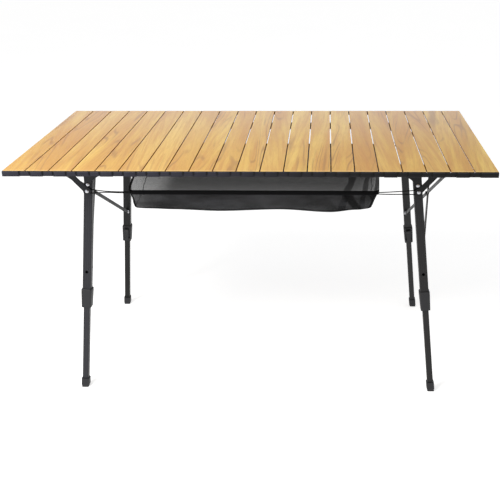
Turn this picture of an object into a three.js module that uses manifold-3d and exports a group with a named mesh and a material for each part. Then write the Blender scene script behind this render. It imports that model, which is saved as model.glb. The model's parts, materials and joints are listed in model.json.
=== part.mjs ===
// Camp kitchen table: a roll-up slatted top on a splayed folding frame, with a mesh storage bag below.
// Millimetres, +Z up, +X along the length, +Y to the back. The origin is on the floor under the centre.

import * as THREE from 'three';
import { mergeVertices } from 'three/addons/utils/BufferGeometryUtils.js';
import Module from 'manifold-3d';

const wasm = await Module();
wasm.setup();

// ---------- driving dimensions ----------
const TABLE_LENGTH = 1200;
const TABLE_DEPTH = 630;
const TABLE_HEIGHT = 644;
const GAP = 0.3;

// top slats, one per pitch along X
const SLAT_COUNT = 21;
const SLAT_PITCH = TABLE_LENGTH / SLAT_COUNT;
const SLAT_SPACE = 3;
const SLAT_SKIN = 1.1;
const SLAT_LIP = { left: 4.6, right: 5 };
const SLAT_DEPTH = 13.2;
const CHANNEL_WIDTH = 32;
const CHANNEL_FOOT = 6;
const END_PLUG = 4;

// rails under the slats
const RAIL_Y = 215;
const RAIL_WIDTH = 16;
const RAIL_HEIGHT = 17;
const RAIL_WALL = 1.5;
const RAIL_HALF = 498;
const RAIL_PLUG = 12;
const RAIL_TOP = TABLE_HEIGHT - SLAT_DEPTH - GAP;
const RAIL_MID = RAIL_TOP - RAIL_HEIGHT / 2;

// splayed legs: the axis meets the floor at (FOOT_X, FOOT_Y) and leans inward as it rises
const FOOT_X = 480;
const FOOT_Y = 257;
const LEAN_X = 0.105;
const LEAN_Y = 0.075;
const UPPER_TUBE = 22;
const LOWER_TUBE = 16;
const TUBE_WALL = 1.2;
const UPPER_FROM = 252.2;
const UPPER_TO = 603;
const LOWER_FROM = 6;
const LOWER_TO = 336;
const PEG_HOLE_UP = 344;
const PEG_HOLE_R = 4;

// clamp collar, its lever and the foot, measured along the leg
const COLLAR_FROM = 242;
const COLLAR_TAPER = 44;
const COLLAR_TO = 295;
const COLLAR_SIZE = 27.5;
const COLLAR_SLIM = 24.8;
const FOOT_SIZE = 20.5;
const FOOT_SLIM = 18.5;
const FOOT_TO = 26;
const LEVER_WIDTH = 14;
const LEVER_PIVOT = { v: -16.8, w: 252 };
const LEVER_BARREL = 2.3;
const LEVER_THICK = 4;
const LEVER_TO = 284;

// scissor bars in the plane that leans outward through the lower and upper pivots
const LOWER_PIVOT = new THREE.Vector3(441, 211, 345);
const UPPER_PIVOT = new THREE.Vector3(506, 212, 621.5);
const BAR_WIDTH = 11;
const BAR_THICK = 3;
const BAR_CLEAR = 0.2;
const PIN_R = 2.6;
const HEAD_R = 5.2;
const HEAD_THICK = 2.2;
const LUG_R = 7;

// leg-top gusset and diagonal brace on the outer face
const GUSSET_Y = RAIL_Y + RAIL_WIDTH / 2 + 0.4;
const GUSSET_THICK = 2.2;
const BRACE_THICK = 2.5;
const BRACE_WIDTH = 14;
const BRACE_EYE = 9.8;
const BEND_Z = 602;
const RIVET_TOP = { x: 419.5, z: 580.5 };
const RIVET_LOW = { x: 422, z: 564 };
const BRACE_END = { x: 472, z: 618 };
const RIVET_R = 4.7;
const SPACER_R = 6;

// mesh storage bag and its elastic loops
const BAG_RIM = { x: 319, y: 224, z: 563, corner: 14 };
const BAG_SHOULDER = { x: 303, y: 208, z: 509, corner: 26 };
const BAG_BASE = { x: 250, y: 125, z: 478, corner: 50 };
const BAG_SKIN = 2;
const BAG_BACK_WIDER = 0.07;
const CORD_R = 1.15;
const LOOP_TURN = 7.2;

// ---------- materials ----------
const wood = new THREE.MeshStandardMaterial({ color: 0xd9ab6c, roughness: 0.5, metalness: 0.05 });
const frame = new THREE.MeshStandardMaterial({ color: 0x3b3b40, roughness: 0.45, metalness: 0.5 });
const plastic = new THREE.MeshStandardMaterial({ color: 0x4a4a4c, roughness: 0.6, metalness: 0 });
const cloth = new THREE.MeshStandardMaterial({ color: 0x1e1e20, roughness: 0.9, metalness: 0 });
const elastic = new THREE.MeshStandardMaterial({ color: 0x111112, roughness: 0.85, metalness: 0 });

// ---------- solids ----------
// turns a closed three.js geometry into a solid that can be joined and cut
function solid(geometry) {
  const bare = geometry.clone();
  bare.deleteAttribute('normal');
  bare.deleteAttribute('uv');
  const merged = mergeVertices(bare, 1e-4);
  const triVerts = new Uint32Array(merged.index.array);
  const vertProperties = new Float32Array(merged.attributes.position.array);
  return new wasm.Manifold(new wasm.Mesh({ numProp: 3, vertProperties, triVerts }));
}

function geometryOf(body) {
  const { vertProperties, triVerts } = body.getMesh();
  const geometry = new THREE.BufferGeometry();
  geometry.setAttribute('position', new THREE.BufferAttribute(vertProperties, 3));
  geometry.setIndex(new THREE.BufferAttribute(triVerts, 1));
  return geometry;
}

function join(...geometries) {
  return geometryOf(geometries.map(solid).reduce((whole, next) => whole.add(next)));
}

function cut(geometry, ...tools) {
  return geometryOf(tools.map(solid).reduce((left, tool) => left.subtract(tool), solid(geometry)));
}

function keep(geometry, region) {
  return geometryOf(solid(geometry).intersect(solid(region)));
}

// a box from its low corner to its high corner
function box(x0, y0, z0, x1, y1, z1) {
  const geometry = new THREE.BoxGeometry(x1 - x0, y1 - y0, z1 - z0);
  return geometry.translate((x0 + x1) / 2, (y0 + y1) / 2, (z0 + z1) / 2);
}

// a copy for the other side of the table: sx and sy are +1 or -1
function mirrored(geometry, sx, sy) {
  const copy = geometry.clone().scale(sx, sy, 1);
  if (sx * sy > 0) return copy;
  const index = copy.index ?? mergeVertices(copy).index;
  const source = copy.index ? copy : mergeVertices(copy);
  const flipped = Array.from(index.array);
  for (let i = 0; i < flipped.length; i += 3) {
    [flipped[i + 1], flipped[i + 2]] = [flipped[i + 2], flipped[i + 1]];
  }
  source.setIndex(flipped);
  return source;
}

function roundedRectangle(halfX, halfY, radius, Kind = THREE.Shape) {
  const outline = new Kind();
  outline.absarc(halfX - radius, halfY - radius, radius, 0, Math.PI / 2);
  outline.absarc(radius - halfX, halfY - radius, radius, Math.PI / 2, Math.PI);
  outline.absarc(radius - halfX, radius - halfY, radius, Math.PI, 1.5 * Math.PI);
  outline.absarc(halfX - radius, radius - halfY, radius, 1.5 * Math.PI, 2 * Math.PI);
  return outline;
}

function prism(shape, from, to, curveSegments = 3) {
  const options = { depth: to - from, bevelEnabled: false, curveSegments };
  return new THREE.ExtrudeGeometry(shape, options).translate(0, 0, from);
}

function squareTube(size, wall, radius, from, to) {
  const outline = roundedRectangle(size / 2, size / 2, radius);
  const inside = size / 2 - wall;
  outline.holes.push(roundedRectangle(inside, inside, Math.max(radius - wall, 0.4), THREE.Path));
  return prism(outline, from, to);
}

// a skin over rings of equal point counts, closed by flat ends
function loft(rings) {
  const count = rings[0].length;
  const points = rings.flat();
  const faces = [];
  for (let ring = 0; ring + 1 < rings.length; ring += 1) {
    for (let i = 0; i < count; i += 1) {
      const a = ring * count + i;
      const b = ring * count + ((i + 1) % count);
      faces.push(a, b, b + count, a, b + count, a + count);
    }
  }
  const last = (rings.length - 1) * count;
  for (let i = 1; i + 1 < count; i += 1) {
    faces.push(0, i + 1, i, last, last + i, last + i + 1);
  }
  const geometry = new THREE.BufferGeometry().setFromPoints(points);
  geometry.setIndex(faces);
  return geometry;
}

function ringAt(halfX, halfY, radius, z, divisions = 3) {
  const outline = roundedRectangle(halfX, halfY, radius).getPoints(divisions);
  const open = outline.filter((p, i) => i === 0 || p.distanceTo(outline[i - 1]) > 1e-6);
  if (open[0].distanceTo(open[open.length - 1]) < 1e-6) open.pop();
  return open.map((p) => new THREE.Vector3(p.x, p.y, z));
}

function disc(radius, from, to, sides = 12) {
  const geometry = new THREE.CylinderGeometry(radius, radius, to - from, sides);
  return geometry.rotateX(Math.PI / 2).translate(0, 0, (from + to) / 2);
}

// a low rivet head whose flat side is at z = from
function head(radius, from, height) {
  const profile = [
    new THREE.Vector2(0, from),
    new THREE.Vector2(radius, from),
    new THREE.Vector2(radius * 0.8, from + height * 0.6),
    new THREE.Vector2(radius * 0.45, from + height * 0.92),
    new THREE.Vector2(0, from + height),
  ];
  return new THREE.LatheGeometry(profile, 12).rotateX(Math.PI / 2);
}

// ---------- the assembly ----------
const table = new THREE.Group();

function add(name, geometry, material) {
  const mesh = new THREE.Mesh(geometry, material.clone());
  mesh.name = name;
  table.add(mesh);
}

const SIDES = [
  { label: 'front_left', sx: -1, sy: -1 },
  { label: 'front_right', sx: 1, sy: -1 },
  { label: 'back_left', sx: -1, sy: 1 },
  { label: 'back_right', sx: 1, sy: 1 },
];

// ---------- top slats ----------
// half of the section, from the edge inward: a thin plate with an edge lip and a C-shaped stiffening channel
function halfSection(lip) {
  const half = (SLAT_PITCH - SLAT_SPACE) / 2;
  const channel = CHANNEL_WIDTH / 2;
  const under = -SLAT_SKIN;
  return [
    [half, 0],
    [half, -lip],
    [half - SLAT_SKIN, -lip],
    [half - SLAT_SKIN, under],
    [channel, under],
    [channel, -SLAT_DEPTH],
    [channel - CHANNEL_FOOT, -SLAT_DEPTH],
    [channel - CHANNEL_FOOT, SLAT_SKIN - SLAT_DEPTH],
    [channel - SLAT_SKIN, SLAT_SKIN - SLAT_DEPTH],
    [channel - SLAT_SKIN, under],
  ];
}

function slatSection() {
  const left = halfSection(SLAT_LIP.left).map(([x, z]) => [-x, z]).reverse();
  const points = [...halfSection(SLAT_LIP.right), ...left].map(([x, z]) => new THREE.Vector2(x, z));
  return new THREE.Shape(points);
}

function slatGeometry() {
  const halfDepth = TABLE_DEPTH / 2;
  const bar = prism(slatSection(), -halfDepth, halfDepth).rotateX(Math.PI / 2);
  const half = CHANNEL_WIDTH / 2 - SLAT_SKIN / 2;
  const top = -SLAT_SKIN / 2;
  const foot = SLAT_SKIN / 2 - SLAT_DEPTH;
  const front = box(-half, -halfDepth, foot, half, END_PLUG - halfDepth, top);
  const back = box(-half, halfDepth - END_PLUG, foot, half, halfDepth, top);
  return join(bar, front, back);
}

const slat = slatGeometry();
for (let i = 0; i < SLAT_COUNT; i += 1) {
  const x = (i - (SLAT_COUNT - 1) / 2) * SLAT_PITCH;
  const name = `slat_${String(i + 1).padStart(2, '0')}`;
  add(name, slat.clone().translate(x, 0, TABLE_HEIGHT), wood);
}

// ---------- scissor plane ----------
// bars, lugs and pins are drawn in the plane through the lower and upper pivots of the right side:
// local x runs along +Y, local y up the plane, local z out of it, with the origin at the lower pivot height
const planeUp = new THREE.Vector3(UPPER_PIVOT.x - LOWER_PIVOT.x, 0, UPPER_PIVOT.z - LOWER_PIVOT.z);
const PLANE_RISE = planeUp.length();
planeUp.normalize();
const planeOut = new THREE.Vector3(0, 1, 0).cross(planeUp);
const scissorPlane = new THREE.Matrix4()
  .makeBasis(new THREE.Vector3(0, 1, 0), planeUp, planeOut)
  .setPosition(LOWER_PIVOT.x, 0, LOWER_PIVOT.z);

// flat plate layers, from the inner side of the table outward
const OUTER_BAR = [BAR_CLEAR, BAR_CLEAR + BAR_THICK];
const INNER_BAR = [-BAR_CLEAR - BAR_THICK, -BAR_CLEAR];
const OUTER_LUG = [BAR_CLEAR - GAP / 3, BAR_CLEAR - GAP / 3 + BAR_THICK];
const INNER_LUG = [GAP / 3 - BAR_CLEAR - BAR_THICK, GAP / 3 - BAR_CLEAR];
const DEEP_LUG = [INNER_BAR[0] - GAP - BAR_THICK, INNER_BAR[0] - GAP];

function barPlate(lowY, highY, layer) {
  const low = new THREE.Vector2(lowY, 0);
  const high = new THREE.Vector2(highY, PLANE_RISE);
  const along = high.clone().sub(low).normalize();
  const angle = along.angle();
  const r = BAR_WIDTH / 2;
  const outline = new THREE.Shape();
  outline.absarc(high.x, high.y, r, angle - Math.PI / 2, angle + Math.PI / 2);
  outline.absarc(low.x, low.y, r, angle + Math.PI / 2, angle + 1.5 * Math.PI);
  const hole = new THREE.Path();
  hole.absarc(high.x, high.y, PIN_R + GAP, 0, 2 * Math.PI, true);
  outline.holes.push(hole);
  return prism(outline, layer[0], layer[1], 6);
}

const CROSSING_UP = (PLANE_RISE * LOWER_PIVOT.y) / (LOWER_PIVOT.y + UPPER_PIVOT.y);

// the outer bar carries the crossing pin; its low end lies against the front leg's lug
function outerBarGeometry() {
  const plate = barPlate(-LOWER_PIVOT.y, UPPER_PIVOT.y, OUTER_BAR);
  const pinTip = INNER_BAR[0] - GAP;
  const pin = disc(PIN_R, pinTip - HEAD_THICK / 2, OUTER_BAR[0] + 1, 12).translate(0, CROSSING_UP, 0);
  const innerHead = disc(HEAD_R, pinTip - HEAD_THICK, pinTip).translate(0, CROSSING_UP, 0);
  const outerHead = head(HEAD_R, OUTER_BAR[1] - 0.2, HEAD_THICK).translate(0, CROSSING_UP, 0);
  const lowHead = head(HEAD_R, OUTER_BAR[1] - 0.2, HEAD_THICK).translate(-LOWER_PIVOT.y, 0, 0);
  return join(plate, pin, innerHead, outerHead, lowHead).applyMatrix4(scissorPlane);
}

// the inner bar has the hole for the crossing pin; its low end lies against the back leg's lug
function innerBarGeometry() {
  const plate = barPlate(LOWER_PIVOT.y, -UPPER_PIVOT.y, INNER_BAR);
  const hole = disc(PIN_R + GAP, INNER_BAR[0] - 1, INNER_BAR[1] + 1, 12).translate(0, CROSSING_UP, 0);
  const lowHead = head(HEAD_R, 0, HEAD_THICK).rotateY(Math.PI);
  lowHead.translate(LOWER_PIVOT.y, 0, INNER_BAR[0] + 0.2);
  return join(cut(plate, hole), lowHead).applyMatrix4(scissorPlane);
}

for (const [side, sx] of [['left', -1], ['right', 1]]) {
  add(`scissor_bar_outer_${side}`, mirrored(outerBarGeometry(), sx, 1), frame);
  add(`scissor_bar_inner_${side}`, mirrored(innerBarGeometry(), sx, 1), frame);
}

// ---------- rails ----------
// each rail ends in a plug with a lug and the pin that its scissor bar turns on
function railEnd(sy, lug) {
  const bar = lug === DEEP_LUG ? INNER_BAR : OUTER_BAR;
  const pinY = sy * UPPER_PIVOT.y;
  const headFrom = bar[1] + GAP;
  const plate = disc(LUG_R, lug[0], lug[1], 18).translate(pinY, PLANE_RISE, 0);
  const pin = disc(PIN_R, lug[0] + 1, headFrom + 1, 12).translate(pinY, PLANE_RISE, 0);
  const pinHead = head(HEAD_R, headFrom, HEAD_THICK).translate(pinY, PLANE_RISE, 0);
  const hardware = join(plate, pin, pinHead).applyMatrix4(scissorPlane);
  const reach = RAIL_WALL / 2;
  const half = { y: RAIL_WIDTH / 2 - reach, z: RAIL_HEIGHT / 2 - reach };
  const lugX = UPPER_PIVOT.x + lug[0] * planeOut.x;
  const middle = sy * RAIL_Y;
  const plug = box(
    RAIL_HALF - RAIL_PLUG, middle - half.y, RAIL_MID - half.z,
    RAIL_HALF + 1, middle + half.y, RAIL_MID + half.z,
  );
  const neck = box(
    RAIL_HALF, pinY - LUG_R / 2, RAIL_MID - LUG_R / 2,
    lugX + 1, pinY + LUG_R / 2, RAIL_MID + LUG_R / 2,
  );
  return join(hardware, plug, neck);
}

function railGeometry(sy, lug) {
  const outline = roundedRectangle(RAIL_HEIGHT / 2, RAIL_WIDTH / 2, 2);
  const inner = { z: RAIL_HEIGHT / 2 - RAIL_WALL, y: RAIL_WIDTH / 2 - RAIL_WALL };
  outline.holes.push(roundedRectangle(inner.z, inner.y, 0.6, THREE.Path));
  const tube = prism(outline, -RAIL_HALF, RAIL_HALF).rotateY(Math.PI / 2);
  tube.translate(0, sy * RAIL_Y, RAIL_MID);
  const end = railEnd(sy, lug);
  return join(tube, end, mirrored(end, -1, 1));
}

add('rail_front', ventilated(railGeometry(-1, DEEP_LUG)), frame);
add('rail_back', ventilated(railGeometry(1, INNER_LUG)), frame);

// a drain hole under the middle opens the hollow rail
function ventilated(rail) {
  const drain = disc(3, RAIL_MID - RAIL_HEIGHT, RAIL_MID, 12);
  return cut(rail, drain.clone().translate(0, RAIL_Y, 0), drain.clone().translate(0, -RAIL_Y, 0));
}

// ---------- legs ----------
// leg parts are drawn along the back right leg: local x outward in X, y outward in Y, z up the leg
const legUp = new THREE.Vector3(-LEAN_X, -LEAN_Y, 1).normalize();
const legSide = new THREE.Vector3(1, 0, 0).addScaledVector(legUp, LEAN_X / Math.hypot(LEAN_X, LEAN_Y, 1));
legSide.normalize();
const legOut = legUp.clone().cross(legSide);
const legFrame = new THREE.Matrix4().makeBasis(legSide, legOut, legUp).setPosition(FOOT_X, FOOT_Y, 0);

// sy tells which bar this leg carries: the front leg's lug is behind the outer bar, the back leg's before the inner
function upperLegGeometry(sy) {
  const tube = squareTube(UPPER_TUBE, TUBE_WALL, 2.4, UPPER_FROM, UPPER_TO);
  const pegHole = new THREE.CylinderGeometry(PEG_HOLE_R, PEG_HOLE_R, 6, 16);
  pegHole.translate(0, UPPER_TUBE / 2, PEG_HOLE_UP);
  const drilled = cut(tube, pegHole).applyMatrix4(legFrame);
  const layer = sy < 0 ? INNER_LUG : OUTER_LUG;
  const eye = disc(LUG_R, layer[0], layer[1], 18).translate(LOWER_PIVOT.y, 0, 0);
  const reach = LOWER_PIVOT.y + 12;
  const web = box(LOWER_PIVOT.y, -LUG_R, layer[0], reach, LUG_R, layer[1]);
  const lug = join(eye, web).applyMatrix4(scissorPlane);
  const inside = UPPER_TUBE / 2 - TUBE_WALL;
  const bore = box(-inside, -inside, UPPER_FROM - 1, inside, inside, UPPER_TO + 1).applyMatrix4(legFrame);
  return join(drilled, cut(lug, bore));
}

function lowerLegGeometry() {
  return squareTube(LOWER_TUBE, TUBE_WALL, 2, LOWER_FROM, LOWER_TO).applyMatrix4(legFrame);
}

function collarGeometry() {
  const shell = loft([
    ringAt(COLLAR_SLIM / 2, COLLAR_SLIM / 2, 3, COLLAR_FROM),
    ringAt(COLLAR_SIZE / 2, COLLAR_SIZE / 2, 3.5, COLLAR_FROM + COLLAR_TAPER),
    ringAt(COLLAR_SIZE / 2, COLLAR_SIZE / 2, 3.5, COLLAR_TO - 1.5),
    ringAt(COLLAR_SIZE / 2 - 1, COLLAR_SIZE / 2 - 1, 3, COLLAR_TO),
  ]);
  const ears = [-1, 1].map((side) => {
    const near = (LEVER_WIDTH / 2 + GAP * 2) * side;
    const far = near + 2.6 * side;
    const [from, to] = [Math.min(near, far), Math.max(near, far)];
    const { v, w } = LEVER_PIVOT;
    const eye = disc(3.8, from, to, 14).rotateY(Math.PI / 2).translate(0, v, w);
    return join(eye, box(from, v, w - 3.8, to, -11, w + 3.8));
  });
  const upper = UPPER_TUBE / 2 + GAP;
  const lower = LOWER_TUBE / 2 + GAP;
  const upperPocket = box(-upper, -upper, UPPER_FROM - GAP, upper, upper, COLLAR_TO + 1);
  const lowerHole = box(-lower, -lower, COLLAR_FROM - 1, lower, lower, UPPER_FROM);
  const latchSlot = box(-6, -COLLAR_SIZE, COLLAR_TO - 7, 6, 1.6 - COLLAR_SIZE / 2, COLLAR_TO - 3);
  const body = cut(join(shell, ...ears), upperPocket, lowerHole, latchSlot);
  return body.applyMatrix4(legFrame);
}

// seen from the side the lever is a barrel on the pivot, a flat blade and a lip that a finger catches
function leverGeometry() {
  const { v, w } = LEVER_PIVOT;
  const back = v + LEVER_BARREL;
  const face = back - LEVER_THICK;
  const profile = new THREE.Shape();
  profile.moveTo(back, w);
  profile.lineTo(back, LEVER_TO);
  profile.lineTo(face - 1.5, LEVER_TO + 2.5);
  profile.lineTo(face - 2.5, LEVER_TO + 1);
  profile.lineTo(face, LEVER_TO - 7);
  profile.lineTo(v - LEVER_BARREL, w);
  profile.absarc(v, w, LEVER_BARREL, Math.PI, 2 * Math.PI);
  const across = new THREE.Matrix4().makeBasis(
    new THREE.Vector3(0, 1, 0), new THREE.Vector3(0, 0, 1), new THREE.Vector3(1, 0, 0),
  );
  const blade = prism(profile, -LEVER_WIDTH / 2, LEVER_WIDTH / 2, 6).applyMatrix4(across);
  return blade.applyMatrix4(legFrame);
}

// the foot is cut off level with the floor
function footGeometry() {
  const shell = loft([
    ringAt(FOOT_SLIM / 2, FOOT_SLIM / 2, 2.5, -4),
    ringAt(FOOT_SLIM / 2, FOOT_SLIM / 2, 2.5, 3),
    ringAt(FOOT_SIZE / 2, FOOT_SIZE / 2, 2.5, 6),
    ringAt(FOOT_SIZE / 2, FOOT_SIZE / 2, 2.5, FOOT_TO),
  ]);
  const socket = LOWER_TUBE / 2 + GAP;
  const pocket = box(-socket, -socket, LOWER_FROM - GAP, socket, socket, FOOT_TO + 1);
  const body = cut(shell, pocket).applyMatrix4(legFrame);
  return cut(body, box(FOOT_X - 50, FOOT_Y - 50, -20, FOOT_X + 50, FOOT_Y + 50, 0));
}

// below the bend a flat plate leans out with the leg
function leaned(geometry) {
  const everywhere = 1000;
  const above = keep(geometry, box(0, 0, BEND_Z, everywhere, everywhere, everywhere));
  const below = keep(geometry, box(0, 0, 0, everywhere, everywhere, BEND_Z));
  const shear = new THREE.Matrix4().set(1, 0, 0, 0, 0, 1, -LEAN_Y, LEAN_Y * BEND_Z, 0, 0, 1, 0, 0, 0, 0, 1);
  return join(above, below.applyMatrix4(shear));
}

// a plate drawn in X and Z, from one distance behind the middle of the table to another
function uprightPlate(outline, fromY, toY, curveSegments) {
  return prism(outline, -toY, -fromY, curveSegments).rotateX(Math.PI / 2);
}

function uprightDisc({ x, z }, radius, fromY, toY) {
  return disc(radius, -toY, -fromY).rotateX(Math.PI / 2).translate(x, 0, z);
}

function uprightHead({ x, z }, fromY) {
  return head(RIVET_R, 0, 3).rotateX(-Math.PI / 2).translate(x, fromY, z);
}

function gussetGeometry() {
  const outline = new THREE.Shape();
  const outer = 428;
  const inner = 358;
  const reach = 7.2;
  const railFoot = RAIL_MID - RAIL_HEIGHT / 2;
  outline.moveTo(outer, RAIL_TOP - 1);
  outline.lineTo(inner, RAIL_TOP - 1);
  outline.lineTo(inner, railFoot - 3);
  outline.lineTo(inner + 8, railFoot - 4);
  outline.quadraticCurveTo(RIVET_TOP.x - 11.5, railFoot - 13.5, RIVET_TOP.x - reach, RIVET_TOP.z);
  outline.absarc(RIVET_TOP.x, RIVET_TOP.z, reach, Math.PI, 2 * Math.PI);
  outline.lineTo(outer, RIVET_TOP.z + 9);
  const plate = leaned(uprightPlate(outline, GUSSET_Y, GUSSET_Y + GUSSET_THICK, 8));
  const faceY = GUSSET_Y + GUSSET_THICK + LEAN_Y * (BEND_Z - RIVET_TOP.z) - 0.4;
  return join(plate, uprightHead(RIVET_TOP, faceY));
}

function braceGeometry() {
  const near = GUSSET_Y + GUSSET_THICK + GAP;
  const far = near + BRACE_THICK;
  const angle = Math.atan2(BRACE_END.z - RIVET_LOW.z, BRACE_END.x - RIVET_LOW.x);
  const r = BRACE_WIDTH / 2;
  const outline = new THREE.Shape();
  outline.absarc(BRACE_END.x, BRACE_END.z, r, angle - Math.PI / 2, angle + Math.PI / 2);
  const shoulder = Math.asin(r / BRACE_EYE);
  outline.absarc(RIVET_LOW.x, RIVET_LOW.z, BRACE_EYE, angle + shoulder, angle + 2 * Math.PI - shoulder);
  const plate = leaned(uprightPlate(outline, near, far, 8));
  const low = LEAN_Y * (BEND_Z - RIVET_LOW.z);
  const legFace = FOOT_Y - LEAN_Y * RIVET_LOW.z + UPPER_TUBE / 2;
  const spacerLow = uprightDisc(RIVET_LOW, SPACER_R - 1.5, legFace + 2 * GAP, near + low + 1);
  const spacerHigh = uprightDisc(BRACE_END, SPACER_R, RAIL_Y + RAIL_WIDTH / 2 + GAP, near + 1);
  const heads = [uprightHead(RIVET_LOW, far + low - 0.4), uprightHead(BRACE_END, far - 0.2)];
  return join(plate, spacerLow, spacerHigh, ...heads);
}

// the bag is wider along its back edge
function bagWidening(y) {
  return 1 + BAG_BACK_WIDER * (y + BAG_RIM.y) / (2 * BAG_RIM.y);
}

// an elastic loop from the rivet spacer to the bag's corner, as one hairpin of cord
function bagCordGeometry(sy) {
  const leaning = (x, z) => {
    const y = FOOT_Y + UPPER_TUBE / 2 - LEAN_Y * z + CORD_R + 1.5 * GAP;
    return new THREE.Vector3(x, y, z);
  };
  const path = new THREE.CurvePath();
  const bagEnd = BAG_RIM.x * bagWidening(BAG_RIM.y * sy) + 1.5;
  const tip = BAG_RIM.z - 3;
  const over = leaning(RIVET_LOW.x, RIVET_LOW.z + LOOP_TURN);
  const under = leaning(RIVET_LOW.x, RIVET_LOW.z - LOOP_TURN);
  const around = [];
  for (let step = 0; step <= 8; step += 1) {
    const angle = Math.PI / 2 - (step * Math.PI) / 8;
    const x = RIVET_LOW.x + LOOP_TURN * Math.cos(angle);
    around.push(leaning(x, RIVET_LOW.z + LOOP_TURN * Math.sin(angle)));
  }
  const route = [
    new THREE.Vector3(bagEnd, BAG_RIM.y + 2, tip + 2),
    over.clone().lerp(new THREE.Vector3(bagEnd, BAG_RIM.y + 2, tip + 2), 0.5),
    ...around,
    under.clone().lerp(new THREE.Vector3(bagEnd, BAG_RIM.y + 2, tip - 2), 0.5),
    new THREE.Vector3(bagEnd, BAG_RIM.y + 2, tip - 2),
  ];
  path.add(new THREE.CatmullRomCurve3(route, false, 'centripetal'));
  const section = new THREE.Shape();
  section.absarc(0, 0, CORD_R, 0, 2 * Math.PI);
  return new THREE.ExtrudeGeometry(section, {
    steps: 32, curveSegments: 3, bevelEnabled: false, extrudePath: path.curves[0],
  });
}

for (const { label, sx, sy } of SIDES) {
  add(`leg_upper_${label}`, mirrored(upperLegGeometry(sy), sx, sy), frame);
  add(`leg_lower_${label}`, mirrored(lowerLegGeometry(), sx, sy), frame);
  add(`collar_${label}`, mirrored(collarGeometry(), sx, sy), plastic);
  add(`lock_lever_${label}`, mirrored(leverGeometry(), sx, sy), plastic);
  add(`foot_${label}`, mirrored(footGeometry(), sx, sy), plastic);
  add(`gusset_${label}`, mirrored(gussetGeometry(), sx, sy), frame);
  add(`brace_${label}`, mirrored(braceGeometry(), sx, sy), frame);
  add(`bag_loop_${label}`, mirrored(bagCordGeometry(sy), sx, sy), elastic);
}

// ---------- storage bag ----------
// an open-topped mesh tray with sloping walls, whose floor hangs down in the middle
// the cords pull its back edge wider than its front edge
function bagGeometry() {
  const sections = [BAG_BASE, BAG_SHOULDER, BAG_RIM];
  const shell = (inset, lift) => loft(sections.map(({ x, y, z, corner }) => (
    ringAt(x - inset, y - inset, corner - inset, z + lift, 4)
  )));
  const tray = cut(shell(0, 0), shell(0.8 * BAG_SKIN, BAG_SKIN));
  const place = tray.getAttribute('position');
  for (let i = 0; i < place.count; i += 1) {
    place.setX(i, place.getX(i) * bagWidening(place.getY(i)));
  }
  return tray;
}

add('storage_bag', bagGeometry(), cloth);

export default table;
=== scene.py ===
"""A roll-top camp kitchen table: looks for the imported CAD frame, in metres, +Z up, +Y to the back."""

import json
import math

import bmesh
import bpy
from mathutils import Matrix, Vector, noise

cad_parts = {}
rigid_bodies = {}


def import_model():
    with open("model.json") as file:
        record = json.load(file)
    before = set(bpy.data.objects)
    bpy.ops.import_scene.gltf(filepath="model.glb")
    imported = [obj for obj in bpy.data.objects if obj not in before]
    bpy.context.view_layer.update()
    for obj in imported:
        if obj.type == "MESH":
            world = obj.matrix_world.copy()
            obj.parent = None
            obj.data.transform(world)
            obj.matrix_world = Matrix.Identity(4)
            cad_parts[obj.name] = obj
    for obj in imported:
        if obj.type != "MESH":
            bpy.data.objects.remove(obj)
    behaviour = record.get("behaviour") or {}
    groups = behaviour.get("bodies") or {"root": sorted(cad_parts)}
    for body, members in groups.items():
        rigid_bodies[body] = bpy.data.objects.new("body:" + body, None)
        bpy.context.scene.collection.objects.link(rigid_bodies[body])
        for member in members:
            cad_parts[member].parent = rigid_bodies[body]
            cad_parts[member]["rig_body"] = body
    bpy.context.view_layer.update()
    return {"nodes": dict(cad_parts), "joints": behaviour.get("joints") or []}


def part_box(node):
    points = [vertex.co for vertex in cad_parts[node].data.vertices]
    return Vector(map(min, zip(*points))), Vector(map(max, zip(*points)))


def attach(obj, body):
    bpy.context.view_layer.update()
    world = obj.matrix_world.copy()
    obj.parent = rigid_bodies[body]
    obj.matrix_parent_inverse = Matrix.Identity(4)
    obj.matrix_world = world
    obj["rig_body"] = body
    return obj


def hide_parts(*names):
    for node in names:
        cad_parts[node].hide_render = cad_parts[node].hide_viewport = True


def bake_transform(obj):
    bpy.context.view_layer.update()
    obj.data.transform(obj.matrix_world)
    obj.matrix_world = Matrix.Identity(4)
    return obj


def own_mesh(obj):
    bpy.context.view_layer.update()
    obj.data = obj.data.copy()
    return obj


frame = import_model()

NODES = frame["nodes"]
JOINTS = {joint["name"]: joint for joint in frame["joints"]}

# ---------- sizes, read from the frame where the frame has them ----------
SLAT_NAMES = sorted(name for name in NODES if name.startswith("slat_"))
SLAT_COUNT = len(SLAT_NAMES)
SLAT_LOW, SLAT_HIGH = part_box(SLAT_NAMES[0])
TABLE_TOP = SLAT_HIGH.z
TABLE_FRONT = SLAT_LOW.y
SLAT_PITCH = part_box(SLAT_NAMES[1])[0].x - SLAT_LOW.x
SLAT_DEPTH = SLAT_HIGH.z - SLAT_LOW.z
LEG_UP = Vector(JOINTS["leg_slide_back_right"]["axis"])
LEAN = (-LEG_UP.x / LEG_UP.z, -LEG_UP.y / LEG_UP.z)
FOOT = Vector((0.480, 0.257, 0.0))
SIDES = {
    "front_left": (-1, -1),
    "front_right": (1, -1),
    "back_left": (-1, 1),
    "back_right": (1, 1),
}


def side_body(label):
    return "front_side" if label.startswith("front") else "back_side"


def slat_body(index):
    middle = SLAT_COUNT // 2
    return "back_side" if index == middle else f"slat_{index + 1:02d}_body"


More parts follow.
